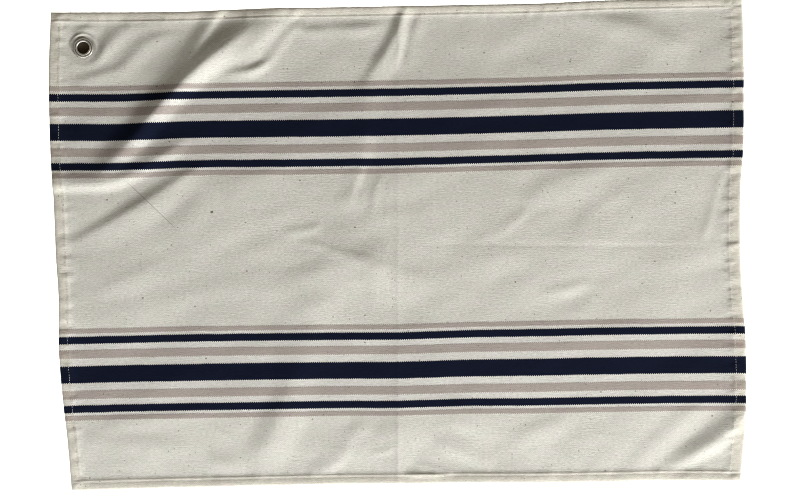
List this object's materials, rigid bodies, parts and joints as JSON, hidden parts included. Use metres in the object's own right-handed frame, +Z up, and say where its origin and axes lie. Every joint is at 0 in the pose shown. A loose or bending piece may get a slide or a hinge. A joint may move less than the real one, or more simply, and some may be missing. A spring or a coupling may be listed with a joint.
{
  "type": "tea towel",
  "caption": "Flat hemmed cotton tea towel with woven stripe bands, soft folds and a metal hanging eyelet in one corner.",
  "frame": {"origin": "middle of the towel's bounding box, on the surface that the towel lies on", "axes": "+X along the towel's long side, +Y along its short side towards the edge with the eyelet, +Z up out of the surface"},
  "size_m": [0.707, 0.5, 0.0115],
  "materials": {
    "striped_cotton": "cream cotton drill with navy and taupe woven stripes, matte",
    "nickel_plate": "polished nickel plate"
  },
  "bodies": {
    "root": {"towel_cloth": "striped_cotton", "eyelet_corner": "striped_cotton", "eyelet": "nickel_plate", "eyelet_washer": "nickel_plate"}
  },
  "joints": []
}
